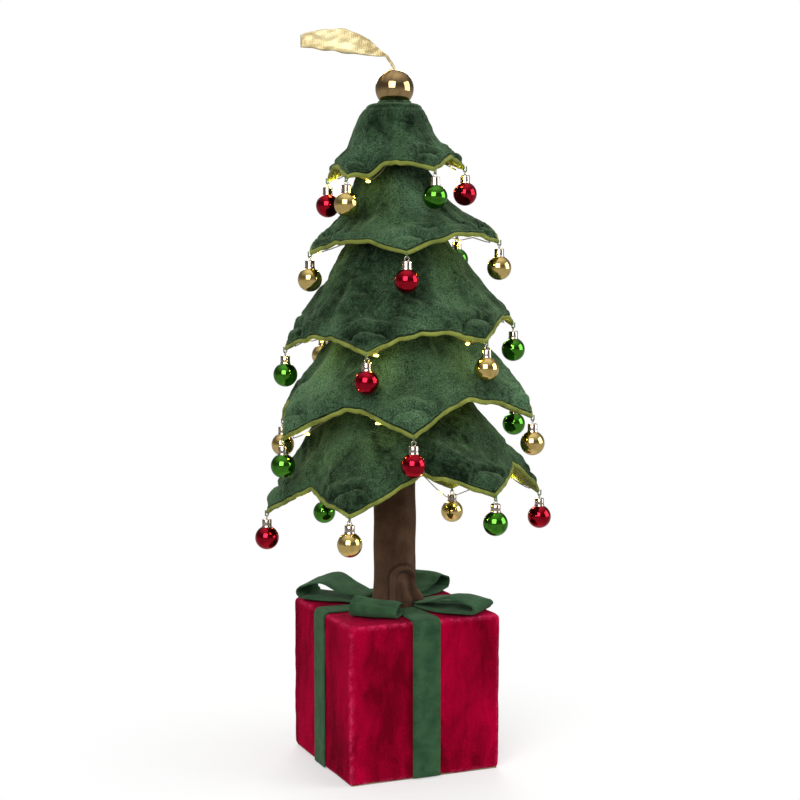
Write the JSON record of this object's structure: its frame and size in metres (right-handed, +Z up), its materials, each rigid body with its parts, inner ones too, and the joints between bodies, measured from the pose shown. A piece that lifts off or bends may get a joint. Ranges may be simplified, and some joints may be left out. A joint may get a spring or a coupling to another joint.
{
  "type": "fabric christmas tree",
  "caption": "Tabletop fabric tree: padded velvet tiers with star hems on a felt trunk in a ribboned gift box, hung with small baubles and lit by a fine string of lights inside the hems.",
  "frame": {"origin": "centre of the gift box's underside, on the floor", "axes": "+Z up the trunk; -Y out of the box's front face; +X to the right seen from the front"},
  "size_m": [0.2349, 0.2301, 0.5795],
  "materials": {
    "green_velvet": "dark green velvet pile",
    "lime_felt": "lime green felt",
    "crimson_velvet": "crimson crushed velvet",
    "green_felt": "green felt ribbon",
    "brown_felt": "dark brown felt",
    "foam": "white foam",
    "board": "plain greyboard",
    "wood": "bare dowel",
    "gold": "gold mirror plating",
    "red": "red mirror plating",
    "green": "green mirror plating",
    "gold_ribbon": "pale gold organza",
    "wire": "fine silver wire with clear drops",
    "plastic": "white plastic",
    "cell": "plain dark sleeve"
  },
  "bodies": {
    "tree": {"tier_1_velvet": "green_velvet", "tier_1_lining": "lime_felt", "tier_2_velvet": "green_velvet", "tier_2_lining": "lime_felt", "tier_3_velvet": "green_velvet", "tier_3_lining": "lime_felt", "tier_4_velvet": "green_velvet", "tier_4_lining": "lime_felt", "tier_5_velvet": "green_velvet", "tier_5_lining": "lime_felt", "top_ball": "gold", "hanger_ribbon": "gold_ribbon", "light_string": "wire", "trunk_cover": "brown_felt", "trunk_padding": "foam", "trunk_pole": "wood", "gift_box_cover": "crimson_velvet", "box_core": "foam", "base_board": "board", "box_strip_front": "green_felt", "box_strip_right": "green_felt", "box_strip_back": "green_felt", "box_strip_left": "green_felt", "bow_loop_front_right": "green_felt", "bow_loop_back_right": "green_felt", "bow_loop_back_left": "green_felt", "bow_loop_front_left": "green_felt", "battery_case": "plastic", "battery_1": "cell", "battery_2": "cell"},
    "bauble_1_1": {"bauble_1_1": "gold"},
    "bauble_1_2": {"bauble_1_2": "green"},
    "bauble_1_3": {"bauble_1_3": "red"},
    "bauble_1_4": {"bauble_1_4": "green"},
    "bauble_1_5": {"bauble_1_5": "red"},
    "bauble_2_1": {"bauble_2_1": "red"},
    "bauble_2_2": {"bauble_2_2": "gold"},
    "bauble_2_3": {"bauble_2_3": "green"},
    "bauble_2_4": {"bauble_2_4": "red"},
    "bauble_2_5": {"bauble_2_5": "gold"},
    "bauble_3_1": {"bauble_3_1": "red"},
    "bauble_3_2": {"bauble_3_2": "gold"},
    "bauble_3_3": {"bauble_3_3": "green"},
    "bauble_3_4": {"bauble_3_4": "red"},
    "bauble_3_5": {"bauble_3_5": "gold"},
    "bauble_3_6": {"bauble_3_6": "green"},
    "bauble_4_1": {"bauble_4_1": "red"},
    "bauble_4_2": {"bauble_4_2": "gold"},
    "bauble_4_3": {"bauble_4_3": "green"},
    "bauble_4_4": {"bauble_4_4": "red"},
    "bauble_4_5": {"bauble_4_5": "gold"},
    "bauble_4_6": {"bauble_4_6": "green"},
    "bauble_5_1": {"bauble_5_1": "gold"},
    "bauble_5_2": {"bauble_5_2": "green"},
    "bauble_5_3": {"bauble_5_3": "red"},
    "bauble_5_4": {"bauble_5_4": "gold"},
    "bauble_5_5": {"bauble_5_5": "green"},
    "bauble_5_6": {"bauble_5_6": "red"},
    "battery_cover": {"battery_cover": "plastic"},
    "switch_slider": {"switch_slider": "plastic"}
  },
  "joints": [
    {"name": "bauble_1_1_swing", "type": "hinge", "parent": "tree", "child": "bauble_1_1", "pos_m": [-0.05074, -0.02646, 0.45991], "axis": [-0.887, -0.4617, 0], "range_deg": [-40, 40]},
    {"name": "bauble_1_2_swing", "type": "hinge", "parent": "tree", "child": "bauble_1_2", "pos_m": [0.00954, -0.05662, 0.46559], "axis": [0.165, -0.9863, 0], "range_deg": [-40, 40]},
    {"name": "bauble_1_3_swing", "type": "hinge", "parent": "tree", "child": "bauble_1_3", "pos_m": [0.05689, -0.00851, 0.46886], "axis": [0.989, -0.1478, 0], "range_deg": [-40, 40]},
    {"name": "bauble_1_4_swing", "type": "hinge", "parent": "tree", "child": "bauble_1_4", "pos_m": [0.02567, 0.05134, 0.46518], "axis": [0.4462, 0.8949, 0], "range_deg": [-40, 40]},
    {"name": "bauble_1_5_swing", "type": "hinge", "parent": "tree", "child": "bauble_1_5", "pos_m": [-0.04079, 0.04013, 0.45966], "axis": [-0.7133, 0.7009, 0], "range_deg": [-40, 40]},
    {"name": "bauble_2_1_swing", "type": "hinge", "parent": "tree", "child": "bauble_2_1", "pos_m": [-0.02134, -0.07454, 0.40275], "axis": [-0.3649, -0.9311, 0], "range_deg": [-40, 40]},
    {"name": "bauble_2_2_swing", "type": "hinge", "parent": "tree", "child": "bauble_2_2", "pos_m": [0.06634, -0.05166, 0.41125], "axis": [0.7727, -0.6347, 0], "range_deg": [-40, 40]},
    {"name": "bauble_2_3_swing", "type": "hinge", "parent": "tree", "child": "bauble_2_3", "pos_m": [0.0718, 0.03881, 0.41611], "axis": [0.8425, 0.5388, 0], "range_deg": [-40, 40]},
    {"name": "bauble_2_4_swing", "type": "hinge", "parent": "tree", "child": "bauble_2_4", "pos_m": [-0.01267, 0.07203, 0.41058], "axis": [-0.2521, 0.9677, 0], "range_deg": [-40, 40]},
    {"name": "bauble_2_5_swing", "type": "hinge", "parent": "tree", "child": "bauble_2_5", "pos_m": [-0.07031, 0.00182, 0.40232], "axis": [-0.9982, 0.0593, 0], "range_deg": [-40, 40]},
    {"name": "bauble_3_1_swing", "type": "hinge", "parent": "tree", "child": "bauble_3_1", "pos_m": [-0.05366, -0.07423, 0.32792], "axis": [-0.628, -0.7782, 0], "range_deg": [-40, 40]},
    {"name": "bauble_3_2_swing", "type": "hinge", "parent": "tree", "child": "bauble_3_2", "pos_m": [0.03814, -0.08863, 0.33623], "axis": [0.36, -0.933, 0], "range_deg": [-40, 40]},
    {"name": "bauble_3_3_swing", "type": "hinge", "parent": "tree", "child": "bauble_3_3", "pos_m": [0.09657, -0.01631, 0.34488], "axis": [0.988, -0.1547, 0], "range_deg": [-40, 40]},
    {"name": "bauble_3_4_swing", "type": "hinge", "parent": "tree", "child": "bauble_3_4", "pos_m": [0.06312, 0.07048, 0.3452], "axis": [0.628, 0.7782, 0], "range_deg": [-40, 40]},
    {"name": "bauble_3_5_swing", "type": "hinge", "parent": "tree", "child": "bauble_3_5", "pos_m": [-0.0288, 0.08485, 0.33687], "axis": [-0.36, 0.933, 0], "range_deg": [-40, 40]},
    {"name": "bauble_3_6_swing", "type": "hinge", "parent": "tree", "child": "bauble_3_6", "pos_m": [-0.08714, 0.01245, 0.32824], "axis": [-0.988, 0.1547, 0], "range_deg": [-40, 40]},
    {"name": "bauble_4_1_swing", "type": "hinge", "parent": "tree", "child": "bauble_4_1", "pos_m": [-0.02972, -0.10695, 0.26834], "axis": [-0.3272, -0.9449, 0], "range_deg": [-40, 40]},
    {"name": "bauble_4_2_swing", "type": "hinge", "parent": "tree", "child": "bauble_4_2", "pos_m": [0.07867, -0.0861, 0.27774], "axis": [0.6547, -0.7559, 0], "range_deg": [-40, 40]},
    {"name": "bauble_4_3_swing", "type": "hinge", "parent": "tree", "child": "bauble_4_3", "pos_m": [0.11481, 0.01821, 0.28057], "axis": [0.982, 0.1891, 0], "range_deg": [-40, 40]},
    {"name": "bauble_4_4_swing", "type": "hinge", "parent": "tree", "child": "bauble_4_4", "pos_m": [0.04253, 0.10168, 0.27399], "axis": [0.3272, 0.9449, 0], "range_deg": [-40, 40]},
    {"name": "bauble_4_5_swing", "type": "hinge", "parent": "tree", "child": "bauble_4_5", "pos_m": [-0.06589, 0.08078, 0.26459], "axis": [-0.6547, 0.7559, 0], "range_deg": [-40, 40]},
    {"name": "bauble_4_6_swing", "type": "hinge", "parent": "tree", "child": "bauble_4_6", "pos_m": [-0.10198, -0.02353, 0.26177], "axis": [-0.982, -0.1891, 0], "range_deg": [-40, 40]},
    {"name": "bauble_5_1_swing", "type": "hinge", "parent": "tree", "child": "bauble_5_1", "pos_m": [-0.07016, -0.08118, 0.20809], "axis": [-0.7046, -0.7096, 0], "range_deg": [-40, 40]},
    {"name": "bauble_5_2_swing", "type": "hinge", "parent": "tree", "child": "bauble_5_2", "pos_m": [0.03617, -0.10935, 0.22155], "axis": [0.2622, -0.965, 0], "range_deg": [-40, 40]},
    {"name": "bauble_5_3_swing", "type": "hinge", "parent": "tree", "child": "bauble_5_3", "pos_m": [0.11355, -0.03124, 0.21026], "axis": [0.9668, -0.2554, 0], "range_deg": [-40, 40]},
    {"name": "bauble_5_4_swing", "type": "hinge", "parent": "tree", "child": "bauble_5_4", "pos_m": [0.08468, 0.07486, 0.2007], "axis": [0.7046, 0.7096, 0], "range_deg": [-40, 40]},
    {"name": "bauble_5_5_swing", "type": "hinge", "parent": "tree", "child": "bauble_5_5", "pos_m": [-0.02153, 0.103, 0.20231], "axis": [-0.2622, 0.965, 0], "range_deg": [-40, 40]},
    {"name": "bauble_5_6_swing", "type": "hinge", "parent": "tree", "child": "bauble_5_6", "pos_m": [-0.09896, 0.025, 0.19841], "axis": [-0.9668, 0.2554, 0], "range_deg": [-40, 40]},
    {"name": "battery_cover_lift", "type": "slide", "parent": "tree", "child": "battery_cover", "axis": [0, 0, -1], "range_m": [0, 0.012]},
    {"name": "switch_slide", "type": "slide", "parent": "tree", "child": "switch_slider", "axis": [1, 0, 0], "range_m": [0, 0.003]}
  ]
}
